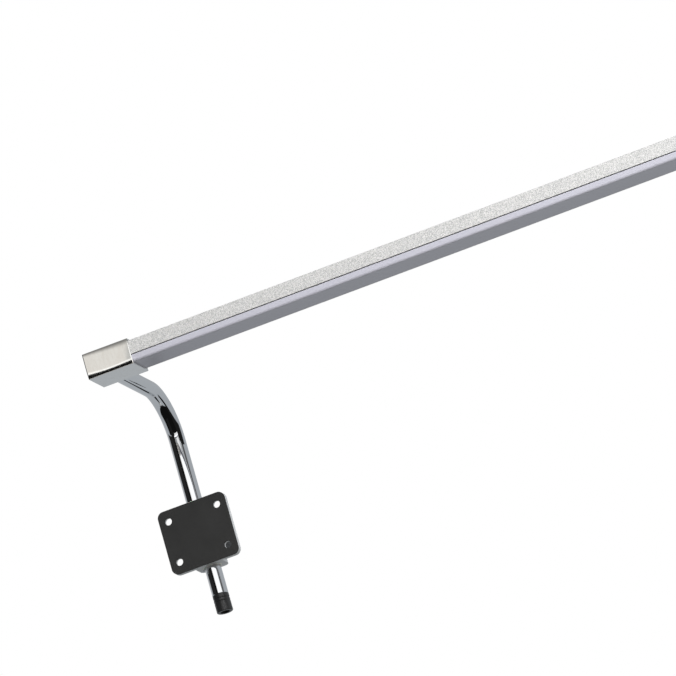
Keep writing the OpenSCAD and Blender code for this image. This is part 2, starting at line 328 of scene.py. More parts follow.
def make_world():
    """Plain white for the camera, the studio above for everything else"""
    world = bpy.data.worlds.new("studio")
    world.use_nodes = True
    scene.world = world
    tree = world.node_tree
    tree.nodes.clear()
    direction = add(tree, "TexCoord")
    x, y, z = (add(tree, "SeparateXYZ", {0: direction}, out=i) for i in range(3))
    degrees = 180 / math.pi
    front = calc(tree, "MULTIPLY", y, -1.0)
    azimuth = calc(tree, "MULTIPLY", calc(tree, "ARCTAN2", x, front), degrees)
    elevation = calc(tree, "MULTIPLY", calc(tree, "ARCSINE", z), degrees)
    sideways = calc(tree, "MULTIPLY", calc(tree, "ARCSINE", x), degrees)
    pitch = calc(tree, "MULTIPLY", calc(tree, "ARCTAN2", z, front), degrees)
    charts = {"round": (azimuth, elevation), "over": (sideways, pitch)}
    colour = STUDIO_GREY
    for _, chart, across, upwards, light in STUDIO:
        mask = 1.0
        for value, (lo, hi, soft_lo, soft_hi) in zip(charts[chart], (across, upwards)):
            mask = calc(tree, "MULTIPLY", mask, ease(tree, value, lo - soft_lo, lo + soft_lo))
            mask = calc(tree, "MULTIPLY", mask, ease(tree, value, hi - soft_hi, hi + soft_hi, 1.0, 0.0))
        colour = mix(tree, mask, colour, light)
    lit = add(tree, "Background", {"Color": colour, "Strength": 1.0})
    plain = add(tree, "Background", {"Color": (1, 1, 1, 1), "Strength": 1.0})
    is_camera = add(tree, "LightPath", out=0)
    shown = add(tree, "MixShader", {0: is_camera, 1: lit, 2: plain})
    output = tree.nodes.new("ShaderNodeOutputWorld")
    tree.links.new(shown, output.inputs[0])


def area_light(name, place, target, size, power, mirrored_too=False, colour=(1, 1, 1)):
    """A soft light, which the plating mirrors only if mirrored_too"""
    data = bpy.data.lights.new(name, "AREA")
    data.shape = "RECTANGLE"
    data.size, data.size_y = size
    data.energy = power
    data.color = colour
    light = bpy.data.objects.new(name, data)
    scene.collection.objects.link(light)
    light.location = place
    light.rotation_euler = (Vector(target) - Vector(place)).to_track_quat("-Z", "Y").to_euler()
    light.visible_glossy = mirrored_too
    light.visible_camera = False
    return light


def stage_plane(name, corners, material, seen_by):
    """A flat part of the studio that only the named kinds of ray see"""
    mesh = bpy.data.meshes.new(name)
    mesh.from_pydata(corners, [], [list(range(len(corners)))])
    mesh.materials.append(material)
    obj = bpy.data.objects.new(name, mesh)
    scene.collection.objects.link(obj)
    for kind in ("camera", "diffuse", "glossy", "transmission", "shadow", "volume_scatter"):
        setattr(obj, "visible_" + kind, kind in seen_by)


def stage_material(name):
    material = bpy.data.materials.new(name)
    material.use_nodes = True
    tree = material.node_tree
    tree.nodes.clear()
    return material, tree, tree.nodes.new("ShaderNodeOutputMaterial")


def show_front_only(tree, output, front):
    """Lets whatever looks from behind see through"""
    behind = add(tree, "NewGeometry", out=6)
    both = add(tree, "MixShader", {0: behind, 1: front, 2: add(tree, "BsdfTransparent")})
    tree.links.new(both, output.inputs[0])


def upright(left, right, low, high, y):
    """Corners of an upright rectangle that faces the back"""
    return [(left, y, high), (right, y, high), (right, y, low), (left, y, low)]


def make_floor():
    """Pale floor under the lamp, which turns into the white background further out.

    Its underside lets the view through, because the camera looks up from below it."""
    material, tree, output = stage_material("studio_floor")
    away = add(tree, "VectorMath", {0: add(tree, "TexCoord", out=3)}, out=1, operation="LENGTH")
    matt = add(tree, "BsdfDiffuse", {"Color": (0.88, 0.88, 0.88, 1)})
    white = add(tree, "Emission", {"Color": (1, 1, 1, 1), "Strength": 1.0})
    top = add(tree, "MixShader", {0: ease(tree, away, 0.3, 1.5), 1: matt, 2: white})
    show_front_only(tree, output, top)
    z, r = FLOOR_Z, 40
    stage_plane("floor", [(-r, -r, z), (r, -r, z), (r, r, z), (-r, r, z)], material, ("camera",))


def card_material(name, strength):
    """Plain light on the front of a card, which isn't there for what is behind it"""
    material, tree, output = stage_material(name)
    front = add(tree, "Emission", {"Strength": strength})
    show_front_only(tree, output, front)
    return material


def make_cards():
    """Cards that show only in reflections: a black one left of the left bracket, just behind its
    front, a small black one on the inner side of the bend, and a white strip behind the bar"""
    black = card_material("black_card", 0.012)
    white = card_material("white_strip", 0.95)
    bracket_lo, bracket_hi = (corner * MM for corner in box("left_bracket"))
    arm_hi = box("left_arm")[1] * MM
    bar_lo, bar_hi = (corner * MM for corner in box("bar_housing"))

    gap, width, low, high, behind_front = 0.0055, 0.08, -0.05, 0.14, 0.001
    right = bracket_lo.x - gap
    corners = upright(right - width, right, low, high, bracket_lo.y + behind_front)
    stage_plane("black_card", corners, black, ("glossy",))

    beside, front, back = arm_hi.x + 0.0103, arm_hi.y - 0.0205, arm_hi.y - 0.003
    low, high, cut_back, cut_front = 0.0605, 0.0715, 0.009, 0.0045
    corners = [(beside, front, high), (beside, back, high), (beside, back, low)]
    corners += [(beside, back - cut_back, low), (beside, front, low + cut_front)]
    stage_plane("small_card", corners, black, ("glossy",))

    length, off_the_bar = 0.055, 0.0008
    left, y = bracket_hi.x, bar_hi.y + off_the_bar
    stage_plane("white_strip", upright(left, left + length, bar_lo.z, bar_hi.z, y), white, ("glossy",))


FLOOR_Z = -0.09
WARM_WHITE = (1, 0.965, 0.91)

make_world()
make_floor()
make_cards()
area_light("softbox", (0.5, -1.15, 0.36), (0.5, 0, 0.36), (1.5, 0.62), 2.7, mirrored_too=True)
area_light("front_key", (1.1, -1.9, 0.8), (0, -0.1, 0.08), (1.4, 1.0), 60)
area_light("low", (0.6, -0.8, -1.2), (0, -0.1, 0.08), (1.2, 0.6), 6.4, colour=(1, 0.97, 0.86))
area_light("behind", (0.3, 1.5, 0.5), (-0.2, 0, 0.08), (1.2, 0.6), 14)
area_light("top", (0.2, 0.4, 2.4), (0, 0, 0), (1.6, 1.6), 28)


def bracket_panel(name, brackets, y, across, upwards, level):
    """Light panel for the brackets alone, so that they look bright in other views than the
    photograph's too. It stands at y and spans across and upwards"""
    (left, right), (low, high) = across, upwards
    size = (right - left, high - low)
    x, z = (left + right) / 2, (low + high) / 2
    power = level * math.pi * size[0] * size[1]
    panel = area_light(name, (x, y, z), (x, 0, z), size, power, mirrored_too=True, colour=WARM_WHITE)
    seen_by = bpy.data.collections.new(name)
    for bracket in brackets:
        seen_by.objects.link(bracket)
    panel.light_linking.receiver_collection = seen_by


# ---------------------------------------------------------------- materials


def surface(name, base, metallic, roughness, build, bump_strength=0.2, bump_distance=0.1, **sockets):
    """A Principled material. build(tree, coordinates) returns links for its sockets and bump"""
    material = bpy.data.materials.new(name)
    material.use_nodes = True
    tree = material.node_tree
    tree.nodes.clear()
    shader = tree.nodes.new("ShaderNodeBsdfPrincipled")
    output = tree.nodes.new("ShaderNodeOutputMaterial")
    tree.links.new(shader.outputs[0], output.inputs[0])
    shader.inputs["Base Color"].default_value = (*base, 1)
    shader.inputs["Metallic"].default_value = metallic
    shader.inputs["Roughness"].default_value = roughness
    for key, value in sockets.items():
        shader.inputs[key.replace("_", " ")].default_value = value
    coordinates = add(tree, "TexCoord", out=3)
    links = build(tree, coordinates)
    height = links.pop("height", None)
    for key, value in links.items():
        tree.links.new(value, shader.inputs[key])
    if height is not None:
        inputs = {"Strength": bump_strength, "Distance": bump_distance * MM, "Height": height}
        tree.links.new(add(tree, "Bump", inputs), shader.inputs["Normal"])
    return material


def noise(tree, vector, scale, detail=2.0, rough=0.5, stretch=None):
    """Noise with scale in lumps per millimetre"""
    if stretch:
        vector = add(tree, "Mapping", {"Vector": vector, "Scale": stretch})
    inputs = {"Vector": vector, "Scale": scale / MM, "Detail": detail, "Roughness": rough}
    return add(tree, "TexNoise", inputs)


def between(tree, factor, lo, hi):
    """A number that goes from lo to hi as factor goes from 0 to 1"""
    return add(tree, "MapRange", {"Value": factor, "To Min": lo, "To Max": hi})


BAND = 8.6              # height of the bar's speckled front band
SEAM_SHADE = (0.03, 0.03, 0.03)
LED_STEP = 10           # from one LED to the next
LED_LENGTH = 3.5


def nickel_look(tree, at):
    cloud = noise(tree, at, 0.16, 5, 0.65)
    streak = noise(tree, at, 0.6, 5, 0.6, stretch=(1, 1, 0.2))
    scratch = noise(tree, at, 9, 2, stretch=(0.05, 1, 1))
    blend = calc(tree, "MULTIPLY_ADD", streak, 0.5, calc(tree, "MULTIPLY", cloud, 0.5))
    return {
        "Base Color": mix(tree, ease(tree, blend, 0.3, 0.7), (0.79, 0.775, 0.755), (0.85, 0.855, 0.845)),
        "Roughness": between(tree, scratch, 0.05, 0.13),
        "height": calc(tree, "MULTIPLY_ADD", scratch, 0.15, cloud),
    }


def chrome_look(tree, at):
    cloud = noise(tree, at, 0.08, 2)
    scratch = noise(tree, at, 6, 2, stretch=(1, 1, 0.05))
    return {
        "Base Color": mix(tree, cloud, (0.76, 0.77, 0.785), (0.80, 0.805, 0.81)),
        "Roughness": between(tree, scratch, 0.015, 0.05),
        "height": cloud,
    }


def in_the_seam(tree, at):
    """1 between the band and the cover's lip, where no light gets in, and 0 elsewhere"""
    lo, hi = box("bar_housing")
    y, z = (add(tree, "SeparateXYZ", {0: at}, out=i) for i in (1, 2))
    inside = ease(tree, y, (lo.y + 0.25) * MM, (lo.y + 0.8) * MM)
    seam_z = hi.z - BAND - 0.25
    above = calc(tree, "ABSOLUTE", calc(tree, "SUBTRACT", z, seam_z * MM))
    return calc(tree, "MULTIPLY", inside, ease(tree, above, 0.5 * MM, 1.1 * MM, 1.0, 0.0))


def speckle_look(tree, at):
    """Fine bright and dark flecks with a slight tint on the front band, plainer metal behind it"""
    fleck = add(tree, "TexVoronoi", {"Vector": at, "Scale": 3.4 / MM}, out=1)
    grain = noise(tree, at, 4.5, 1, 0.5)
    value = add(tree, "SeparateColor", {0: fleck})
    blend = calc(tree, "ADD", calc(tree, "MULTIPLY", value, 0.7), calc(tree, "MULTIPLY", grain, 0.3))
    flecks = mix(tree, ease(tree, blend, 0.2, 0.75), (0.57, 0.57, 0.57), (1.0, 1.0, 1.0))
    y, front = add(tree, "SeparateXYZ", {0: at}, out=1), box("bar_housing")[0].y
    behind = ease(tree, y, (front + 1) * MM, (front + 3) * MM, 0.0, 0.8)
    plain = mix(tree, behind, flecks, (0.78, 0.78, 0.78))
    return {
        "Base Color": mix(tree, in_the_seam(tree, at), mix(tree, 0.035, plain, fleck), SEAM_SHADE),
        "Roughness": between(tree, grain, 0.38, 0.6),
        "height": blend,
    }


def opal_look(tree, at):
    cloud = noise(tree, at, 0.02, 2)
    grain = noise(tree, at, 3, 2)
    milk = mix(tree, cloud, (0.475, 0.475, 0.54), (0.50, 0.50, 0.57))
    return {
        "Base Color": mix(tree, in_the_seam(tree, at), milk, SEAM_SHADE),
        "Roughness": between(tree, grain, 0.30, 0.36),
        "height": grain,
    }


nickel = surface("polished_nickel", (0.83, 0.82, 0.79), 1.0, 0.08,
                 bump_strength=0.05, bump_distance=0.1, build=nickel_look)
chrome = surface("chrome_tube", (0.78, 0.79, 0.80), 1.0, 0.03,
                 bump_strength=0.02, bump_distance=0.1, build=chrome_look)
speckled = surface("speckled_aluminium", (0.8, 0.8, 0.79), 0.5, 0.5,
                   bump_strength=0.25, bump_distance=0.05, build=speckle_look)
opal = surface("opal_diffuser", (0.82, 0.82, 0.90), 0.0, 0.33,
               bump_strength=0.05, bump_distance=0.02, build=opal_look, IOR=1.49)


def paint_look(tree, at):
    """Satin paint: orange peel, a little dust and wear"""
    peel = noise(tree, at, 1.1, 2, 0.4)
    cloud = noise(tree, at, 0.06, 3)
    return {
        "Base Color": mix(tree, cloud, (0.44, 0.45, 0.46), (0.53, 0.54, 0.55)),
        "Roughness": between(tree, cloud, 0.34, 0.46),
        "height": peel,
    }


def grainy_look(dark, light, scale, rough, stretch=None):
    """A look with fine grain over a faint cloud, for plastics, rubber and foam"""
    def build(tree, at):
        grain = noise(tree, at, scale, 3, 0.6, stretch)
        cloud = noise(tree, at, 0.08, 2)
        blend = calc(tree, "MULTIPLY_ADD", grain, 0.5, calc(tree, "MULTIPLY", cloud, 0.5))
        return {
            "Base Color": mix(tree, blend, dark, light),
            "Roughness": between(tree, grain, *rough),
            "height": grain,
        }
    return build


def cell_look(tree, at):
    """Closed cells of foam"""
    cell = add(tree, "TexVoronoi", {"Vector": at, "Scale": 2.4 / MM}, out=0)
    return {
        "Base Color": mix(tree, ease(tree, cell, 0.0, 0.7), (0.035, 0.035, 0.037), (0.11, 0.11, 0.115)),
        "Roughness": between(tree, cell, 0.75, 0.95),
        "height": cell,
    }


def board_look(tree, at):
    """White solder mask with copper tracks showing under it along the board"""
    lo, hi = box("led_board")
    track_y, edge, outer_edge = 3.2, 0.7, 0.85
    y = add(tree, "SeparateXYZ", {0: at}, out=1)
    across = calc(tree, "MULTIPLY", calc(tree, "SUBTRACT", y, (lo.y + hi.y) / 2 * MM), 1 / MM)
    off = calc(tree, "ABSOLUTE", calc(tree, "SUBTRACT", calc(tree, "ABSOLUTE", across), track_y))
    track = ease(tree, off, edge, outer_edge, 1.0, 0.0)
    grain = noise(tree, at, 2, 2)
    mask = mix(tree, grain, (0.83, 0.83, 0.81), (0.89, 0.89, 0.87))
    return {
        "Base Color": mix(tree, calc(tree, "MULTIPLY", track, 0.35), mask, (0.80, 0.70, 0.58)),
        "Roughness": between(tree, grain, 0.35, 0.5),
        "height": track,
    }


def chip_look(tree, at):
    """A square of phosphor in a white package, once for every step along the board"""
    lo, hi = box("led_chips")
    x, y = (add(tree, "SeparateXYZ", {0: at}, out=i) for i in (0, 1))
    first = calc(tree, "SUBTRACT", x, (lo.x + LED_LENGTH / 2 - LED_STEP / 2) * MM)
    in_step = calc(tree, "FLOORED_MODULO", calc(tree, "MULTIPLY", first, 1 / MM), LED_STEP)
    along = calc(tree, "ABSOLUTE", calc(tree, "SUBTRACT", in_step, LED_STEP / 2))
    middle = (lo.y + hi.y) / 2 * MM
    across = calc(tree, "MULTIPLY", calc(tree, "ABSOLUTE", calc(tree, "SUBTRACT", y, middle)), 1 / MM)
    in_length, in_width = ease(tree, along, 1.15, 1.3, 1.0, 0.0), ease(tree, across, 0.9, 1.05, 1.0, 0.0)
    window = calc(tree, "MULTIPLY", in_length, in_width)
    grain = noise(tree, at, 8, 2)
    phosphor = mix(tree, grain, (0.80, 0.62, 0.10), (0.90, 0.76, 0.22))
    return {
        "Base Color": mix(tree, window, (0.86, 0.86, 0.83), phosphor),
        "Roughness": between(tree, window, 0.5, 0.22),
        "height": calc(tree, "MULTIPLY_ADD", grain, 0.1, window),
    }


paint = surface("satin_grey_paint", (0.5, 0.5, 0.5), 0.0, 0.4, bump_strength=0.12, bump_distance=0.06,
                build=paint_look, Coat_Weight=0.25, Coat_Roughness=0.3)
nylon = surface("natural_nylon", (0.8, 0.8, 0.75), 0.0, 0.45, bump_strength=0.15, bump_distance=0.04,
                build=grainy_look((0.74, 0.73, 0.68), (0.84, 0.83, 0.78), 1.4, (0.38, 0.55)),
                Subsurface_Weight=0.15, Subsurface_Scale=0.001)
rubber = surface("black_rubber", (0.03, 0.03, 0.03), 0.0, 0.8, bump_strength=0.4, bump_distance=0.08,
                 build=grainy_look((0.018, 0.018, 0.018), (0.042, 0.042, 0.042), 2.2, (0.7, 0.9)))
knob_plastic = surface("black_knob_plastic", (0.03, 0.03, 0.03), 0.0, 0.5, bump_strength=0.35,
                       bump_distance=0.06,
                       build=grainy_look((0.016, 0.016, 0.017), (0.034, 0.034, 0.036), 4.5, (0.42, 0.6)))
inlet_plastic = surface("black_inlet_plastic", (0.02, 0.02, 0.02), 0.0, 0.3, bump_strength=0.1,
                        bump_distance=0.03,
                        build=grainy_look((0.012, 0.012, 0.012), (0.024, 0.024, 0.025), 3, (0.24, 0.38)))
jacket = surface("lead_jacket", (0.02, 0.02, 0.02), 0.0, 0.6, bump_strength=0.2, bump_distance=0.03,
                 build=grainy_look((0.015, 0.015, 0.015), (0.035, 0.035, 0.035), 3, (0.55, 0.7)))
ceramic = surface("resistor_ceramic", (0.03, 0.03, 0.03), 0.0, 0.6, bump_strength=0.2, bump_distance=0.02,
                  build=grainy_look((0.016, 0.016, 0.018), (0.05, 0.05, 0.055), 6, (0.5, 0.7)))
tape = surface("thermal_tape", (0.2, 0.2, 0.22), 0.0, 0.8, bump_strength=0.3, bump_distance=0.03,
               build=grainy_look((0.15, 0.165, 0.185), (0.23, 0.25, 0.275), 1.5, (0.7, 0.85)))
foam = surface("closed_cell_foam", (0.06, 0.06, 0.06), 0.0, 0.9, bump_strength=0.6, bump_distance=0.15,
               build=cell_look)
zinc = surface("zinc_plated_steel", (0.6, 0.6, 0.6), 1.0, 0.3, bump_strength=0.1, bump_distance=0.03,
               build=grainy_look((0.50, 0.51, 0.53), (0.66, 0.67, 0.69), 2.0, (0.2, 0.42)))
brass = surface("bright_brass", (0.8, 0.6, 0.3), 1.0, 0.2, bump_strength=0.05, bump_distance=0.02,
                build=grainy_look((0.72, 0.53, 0.24), (0.83, 0.65, 0.34), 3, (0.14, 0.28)))
board = surface("white_led_board", (0.87, 0.87, 0.85), 0.0, 0.4, bump_strength=0.3, bump_distance=0.05,
                build=board_look)
led = surface("led_package", (0.86, 0.86, 0.83), 0.0, 0.4, bump_strength=0.3, bump_distance=0.05,
              build=chip_look)

for node, material in (
    ("led_board", board), ("led_chips", led), ("led_resistors", ceramic), ("thermal_tape", tape),
    ("left_gasket", foam), ("right_gasket", foam), ("supply_lead", jacket),
):
    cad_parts[node].data.materials.clear()
    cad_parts[node].data.materials.append(material)


def dressed(obj, material, body, slot, *nodes):
    """Gives a finished piece its material and its body, and hides the CAD nodes it stands for. The argument
    slot is not used
    """
    obj.data.materials.clear()
    obj.data.materials.append(material)
    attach(obj, body)
    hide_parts(*nodes)
    return obj


# ---------------------------------------------------------------- end brackets

EDGE = 0.32             # radius of a bracket's edges
LOW_EDGE = 0.25         # and of its lower front edge
POCKET_GAP = 0.3        # round the bar in its pocket
BORE_GAP = 0.05         # round the arm and the screws in their bores


def roll_off(height, reach, slope):
    """How far a polished face has fallen back at a distance from its edge"""
    if height >= reach:
        return 0.0
    return slope * (reach - height) ** 2 / (2 * reach)


def bracket_ring(x, lo, hi):
    """The bracket's outline at x. Polishing has rounded the front off towards all its edges"""
    depth, height, length = hi.y - lo.y, hi.z - lo.z, hi.x - lo.x
    along = x / length
    wave = math.cos(2 * math.pi * (along - 0.95))
    low_slope, low_reach = 0.20, 4.0 + 1.3 * (1 - along) ** 3 + 0.35 * wave
    top_slope, top_reach = 0.20, 2.6 + 2.6 * along
    ends = roll_off(x, 1.2, 0.22) + roll_off(length - x, 0.8, 0.1)
    inner = roll_off(length - x, 6, 0.06)
    front = []
    steps = 28
    for i in range(steps + 1):
        t = 0.5 - 0.5 * math.cos(math.pi * i / steps)
        v = LOW_EDGE + (height - LOW_EDGE - EDGE) * t
        fall = roll_off(v, low_reach, low_slope) + roll_off(height - v, top_reach, top_slope)
        front.append((fall + ends + inner * (1 - 0.8 * v / height), v))
    corners = []
    for (u, v), r, slope, reach, turn in (
        (front[0], LOW_EDGE, low_slope, low_reach, -1), (front[-1], EDGE, top_slope, top_reach, 1),
    ):
        tilt = math.atan(slope * (1 - r / reach))
        start = 180 - turn * math.degrees(tilt)
        centre = (u + r * math.cos(tilt), v - turn * r * math.sin(tilt))
        edge = height - r if turn > 0 else r
        corner = arc(centre, r, start, 180 - turn * 90, 6)
        corners.append([(a, b + edge - centre[1]) for a, b in corner[1:]])
    low, top = corners
    rear = arc((depth - EDGE, height - EDGE), EDGE, 90, 0, 6)
    under = arc((depth - EDGE, EDGE), EDGE, 0, -90, 6)
    return [(lo.x + x, lo.y + u, lo.z + v) for u, v in low[::-1] + front + top + rear + under]


def make_bracket():
    lo, hi = box("left_bracket")
    bar_lo, bar_hi = box("bar_housing")
    arm_lo, arm_hi = box("left_arm")
    screw_lo, screw_hi = box("left_end_screw")
    set_lo, set_hi = box("left_arm_screw")
    length, fine, coarse = hi.x - lo.x, 0.3, 0.75
    first, last = [0, 0.6], [length - 0.6, length]
    while first[-1] < length / 2:
        first.append(first[-1] + (fine if first[-1] < 2.5 else coarse))
    while last[0] - first[-1] > coarse:
        last.insert(0, last[0] - (fine if length - last[0] < 5 else coarse))
    obj = loft("left_end_bracket", [bracket_ring(x, lo, hi) for x in first + last])
    bevelled(obj, EDGE, 4, 40)
    mid_z = (lo.z + hi.z) / 2
    arm_x = (set_lo.x + set_hi.x) / 2
    pocket_start = box("left_gasket")[0].x
    pocket = rounded(bar_hi.y - bar_lo.y + 2 * POCKET_GAP, bar_hi.z - bar_lo.z + 2 * POCKET_GAP, 0.5)
    place = to(pocket_start, bar_lo.y - POCKET_GAP, bar_lo.z - POCKET_GAP) @ ALONG_X
    cuts = [prism("pocket", pocket, place, hi.x - pocket_start + 5)]
    socket = circle((arm_hi.x - arm_lo.x) / 2 + BORE_GAP, 64)
    cuts.append(prism("socket", socket, to(arm_x, arm_lo.y, mid_z) @ ALONG_Y, hi.y - arm_lo.y + 5))
    head_z = (screw_lo.z + screw_hi.z) / 2
    head_y = (screw_lo.y + screw_hi.y) / 2
    head_r = (screw_hi.z - screw_lo.z) / 2 + BORE_GAP
    sink = [(0, -1), (head_r, -1), (head_r, 0), (head_r - 1.3, 1.3), (head_r - 1.3, 30), (0, 30)]
    cuts.append(lathe("sink", sink, 48, to(lo.x, head_y, head_z) @ ALONG_X))
    set_r = (set_hi.x - set_lo.x) / 2 + BORE_GAP
    set_y = (set_lo.y + set_hi.y) / 2
    port = [(0, 0), (set_r, 0), (set_r, hi.z - mid_z + 1), (0, hi.z - mid_z + 1)]
    cuts.append(lathe("port", port, 48, to(arm_x, set_y, mid_z)))
    combine(obj, cuts)
    bevelled(obj, 0.12, 2, 50)
    flat_faces_flat(obj)
    return dressed(obj, nickel, "lamp", "nickel", "left_bracket")


left_bracket = make_bracket()
right_bracket = copied(left_bracket, "right_end_bracket")
dressed(right_bracket, nickel, "lamp", "nickel", "right_bracket")
both_brackets = (left_bracket, right_bracket)
bracket_panel("low_panel", both_brackets, -6, (-16, 10), (-10.5, -1.6), 0.8)
bracket_panel("middle_panel", both_brackets, -6, (-0.5, 10), (-1.0, 0.6), 0.8)
bracket_panel("side_panel", both_brackets, -0.1032, (-0.385, -0.3055), (-0.04, 0.13), 0.8)


# ---------------------------------------------------------------- arms

TUBE_WALL = 1           # of the arms


def arm_rings(r, less, arm, bend_r):
    """Rings of radius r along the arm from its front end; both ends are shortened by less"""
    lo, hi = arm
    x = (lo.x + hi.x) / 2
    tube_r = (hi.x - lo.x) / 2
    level_z = hi.z - tube_r
    back_y = hi.y - tube_r
    bend_y, bend_z = back_y - bend_r, level_z - bend_r
    level_steps, bend_steps, upright_steps = 9, 72, 12
    stations = []
    for i in range(level_steps):
        stations.append((lo.y + less + (bend_y - lo.y - less) * i / level_steps, level_z, 0))
    for i in range(bend_steps + 1):
        a = math.pi / 2 * i / bend_steps
        stations.append((bend_y + bend_r * math.sin(a), bend_z + bend_r * math.cos(a), a))
    for i in range(1, upright_steps + 1):
        stations.append((back_y, bend_z + (lo.z + less - bend_z) * i / upright_steps, math.pi / 2))
    sides = 96
    rings = []
    for y, z, a in stations:
        ring = []
        for k in range(sides):
            b = 2 * math.pi * k / sides
            out, side = r * math.cos(b), r * math.sin(b)
            ring.append((x + side, y + out * math.sin(a), z + out * math.cos(a)))
        rings.append(ring)
    return rings


def make_arm():
    arm = box("left_arm")
    r = (arm[1].x - arm[0].x) / 2
    bend_r, chamfer = 28.4, 0.2
    outer = arm_rings(r, 0, arm, bend_r)
    short = arm_rings(r, chamfer, arm, bend_r)
    outer[0], outer[-1] = short[0], short[-1]
    ends = arm_rings(r - chamfer, 0, arm, bend_r)
    inner = arm_rings(r - TUBE_WALL, 0, arm, bend_r)
    obj = loft("left_bent_arm", [ends[0]] + outer + [ends[-1]] + inner[::-1], ring_closed=True)
    sharpened(obj, 30)
    return dressed(obj, chrome, "lamp", "chrome_tube", "left_arm")


left_arm = make_arm()
right_arm = copied(left_arm, "right_bent_arm")
dressed(right_arm, chrome, "lamp", "chrome_tube", "right_arm")


# ---------------------------------------------------------------- bar


def make_housing():
    """The aluminium profile: speckled band in front, wall behind, seat for the LED board"""
    lo, hi = box("bar_housing")
    d, h = hi.y - lo.y, hi.z - lo.z
    wall, rear, r = 1.2, 1.0, 0.5
    shelf, shelf_t = 8.4, 1.2
    snap, snap_t = 0.6, 0.7
    base = h - BAND
    outline = [(0.15, base), (0, base + 0.15)]
    outline += arc((r, h - r), r, 180, 90, 6) + arc((d - r, h - r), r, 90, 0, 6)
    outline += arc((d - r, r), r, 0, -90, 6)[:-1] + [(d - r, 0), (d - rear + 0.1, 0), (d - rear, 0.1)]
    outline += [(d - rear, 2), (d - rear - snap, 2), (d - rear - snap, 2 + snap_t), (d - rear, 2 + snap_t)]
    outline += [(d - rear, shelf), (wall, shelf), (wall, base + snap_t), (wall + snap, base + snap_t)]
    outline += [(wall + snap, base)]
    obj = prism("bar_profile", outline, to(lo.x, lo.y, lo.z) @ ALONG_X, hi.x - lo.x)
    chamber = [(5.3, shelf + shelf_t), (d - rear, shelf + shelf_t), (d - rear, h - wall), (5.3, h - wall)]
    place = to(lo.x - 1, lo.y, lo.z) @ ALONG_X
    cuts = [prism("chamber", chamber, place, hi.x - lo.x + 2)]
    screw_lo, screw_hi = box("left_end_screw")
    port = circle(1.55, 32)
    screw_y, screw_z = (screw_lo.y + screw_hi.y) / 2, (screw_lo.z + screw_hi.z) / 2
    cuts.append(prism("port", port, to(lo.x - 1, screw_y, screw_z) @ ALONG_X, hi.x - lo.x + 2))
    combine(obj, cuts)
    sharpened(obj, 30)
    flat_faces_flat(obj)
    dressed(obj, speckled, "lamp", "speckled_aluminium", "bar_housing")


def make_diffuser():
    """Opal cover with a front lip, a round lower edge, the underside and two snap legs"""
    lo, hi = box("diffuser")
    d = hi.y - lo.y
    lip, r, skin = 4.4, 1.5, 1.0
    leg_y, leg_t, leg_top = 1.9, 0.9, hi.z - lo.z
    snap, snap_t, hook = 0.6, 0.7, 5.7
    rear_y = d - snap - leg_t
    outline = [(0.12, lip), (0, lip - 0.12)]
    outline += arc((r, r), r, 180, 270, 14)
    outline += [(d - 0.12, 0), (d, 0.12), (d, skin), (rear_y + leg_t, skin)]
    outline += [(rear_y + leg_t, 2.8), (d, 2.8), (d, 3.5), (rear_y + leg_t, 3.5)]
    outline += [(rear_y + leg_t, 4.2), (rear_y, 4.2), (rear_y, skin)]
    outline += arc((r, r), r - skin, 270, 180, 10) + [(skin, lip - skin)]
    outline += [(leg_y + leg_t, lip - skin), (leg_y + leg_t, leg_top), (leg_y, leg_top)]
    outline += [(leg_y, hook + snap_t), (leg_y - snap, hook + snap_t), (leg_y - snap, hook), (leg_y, hook)]
    outline += [(leg_y, lip)]
    obj = prism("opal_cover", outline, to(lo.x, lo.y, lo.z) @ ALONG_X, hi.x - lo.x)
    sharpened(obj, 30)
    flat_faces_flat(obj)
    dressed(obj, opal, "lamp", "opal", "diffuser")


make_housing()
make_diffuser()


# ---------------------------------------------------------------- screws


def thread(name, r, pitch, start, end, place):
    """A threaded rod along Z, with both its ends turned down to the root of the thread"""
    depth, sides, rows = 0.54 * pitch, 32, 4
    shape = (0, 0.5, 1, 0.5)
    rings = []
    for j in range(math.ceil((end - start) / pitch + 2) * rows):
        ring = []
        for k in range(sides):
            z = start + ((j / rows - 1) + k / sides) * pitch
            z = min(max(z, start), end)
            full = min(1, (z - start) / pitch, (end - z) / pitch)
            a = 2 * math.pi * k / sides
            here = r - depth + depth * shape[j % rows] * full
            ring.append(place @ Vector((here * math.cos(a), here * math.sin(a), z)))
        rings.append(ring)
    # a full turn climbs by `rows` rows, so the last column joins the first that much higher
    verts = [p for ring in rings for p in ring]
    faces = []
    for j in range(len(rings) - 1):
        for k in range(sides):
            a, b = j * sides + k, (j + 1) * sides + k
            if k + 1 < sides:
                faces.append([a, a + 1, b + 1, b])
            elif j + rows + 1 < len(rings):
                c, d = (j + rows) * sides, (j + rows + 1) * sides
                faces.append([a, c, d, b])
    obj = new_object(name, verts, faces)
    bm = bmesh.new()
    bm.from_mesh(obj.data)
    bmesh.ops.holes_fill(bm, edges=[e for e in bm.edges if e.is_boundary], sides=0)
    bmesh.ops.recalc_face_normals(bm, faces=bm.faces)
    bm.to_mesh(obj.data)
    bm.free()
    return obj


def hexagon(size):
    """A hexagon with that distance between its flats"""
    return circle(size / math.sqrt(3), 6)


def middle(node):
    lo, hi = box(node)
    return (lo + hi) / 2


def both_sides(obj, material, body, slot, node, across=MIRROR):
    """Finishes a left piece and adds its copy on the right. body and node use {} for the side"""
    other = copied(obj, obj.name.replace("left", "right"), across)
    for piece, side in ((obj, "left"), (other, "right")):
        dressed(piece, material, body.format(side), slot, node.format(side))


HEX_KEY = 2             # size of the screws' hexagon sockets


def straight_across(mid):
    """Moves a left screw to the right side, where a mirror image would have a left-hand thread"""
    return to(-2 * mid.x * MM, 0, 0)


